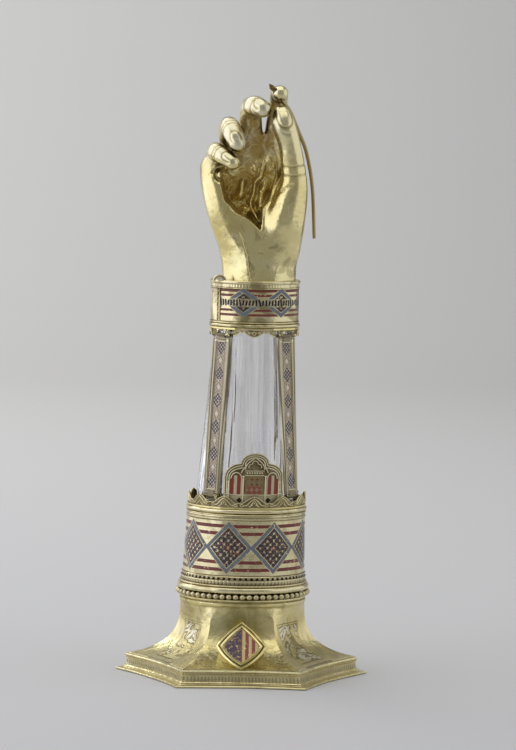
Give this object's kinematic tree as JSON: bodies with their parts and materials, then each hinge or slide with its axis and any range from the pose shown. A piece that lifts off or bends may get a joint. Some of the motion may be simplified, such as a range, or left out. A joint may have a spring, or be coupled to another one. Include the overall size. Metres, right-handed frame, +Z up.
{
  "type": "arm reliquary",
  "caption": "Standing arm reliquary: gilt hand with a thin quill on an enamelled cuff, a hollow rock crystal arm in hinged straps, an oval drum and a spreading hexagonal foot.",
  "frame": {"origin": "centre of the foot's underside, on the surface it stands on", "axes": "+Z up along the arm, -Y to the front where the palm and the gable face, +X to the thumb's side"},
  "size_m": [0.206, 0.1784, 0.4827],
  "materials": {
    "gilt_silver": "polished gilding over silver, worn pale on high parts, with enamel fields",
    "dark_gilt": "satin, darkened gilding",
    "rock_crystal": "polished, clear"
  },
  "bodies": {
    "root": {"foot": "gilt_silver", "foot_shield": "gilt_silver", "beaded_ring": "gilt_silver", "drum": "gilt_silver", "relic_floor": "gilt_silver", "drum_cresting": "gilt_silver", "gable": "gilt_silver", "relic_ceiling": "gilt_silver", "pendants_front": "gilt_silver", "pendants_right": "gilt_silver", "pendants_back": "gilt_silver", "pendants_left": "gilt_silver", "wrist_cuff": "gilt_silver", "hand": "gilt_silver", "strap_front_left": "gilt_silver", "strap_front_right": "gilt_silver", "strap_back_right": "gilt_silver", "strap_back_left": "gilt_silver", "quill": "dark_gilt", "hinge_low_front_left": "dark_gilt", "hinge_low_front_right": "dark_gilt", "hinge_low_back_right": "dark_gilt", "hinge_low_back_left": "dark_gilt", "hinge_high_front_left": "dark_gilt", "hinge_high_front_right": "dark_gilt", "hinge_high_back_right": "dark_gilt", "hinge_high_back_left": "dark_gilt", "pin_low_front_left": "dark_gilt", "pin_low_front_right": "dark_gilt", "pin_low_back_right": "dark_gilt", "pin_low_back_left": "dark_gilt", "pin_high_front_left": "dark_gilt", "pin_high_front_right": "dark_gilt", "pin_high_back_right": "dark_gilt", "pin_high_back_left": "dark_gilt", "crystal_tube": "rock_crystal"}
  },
  "joints": []
}
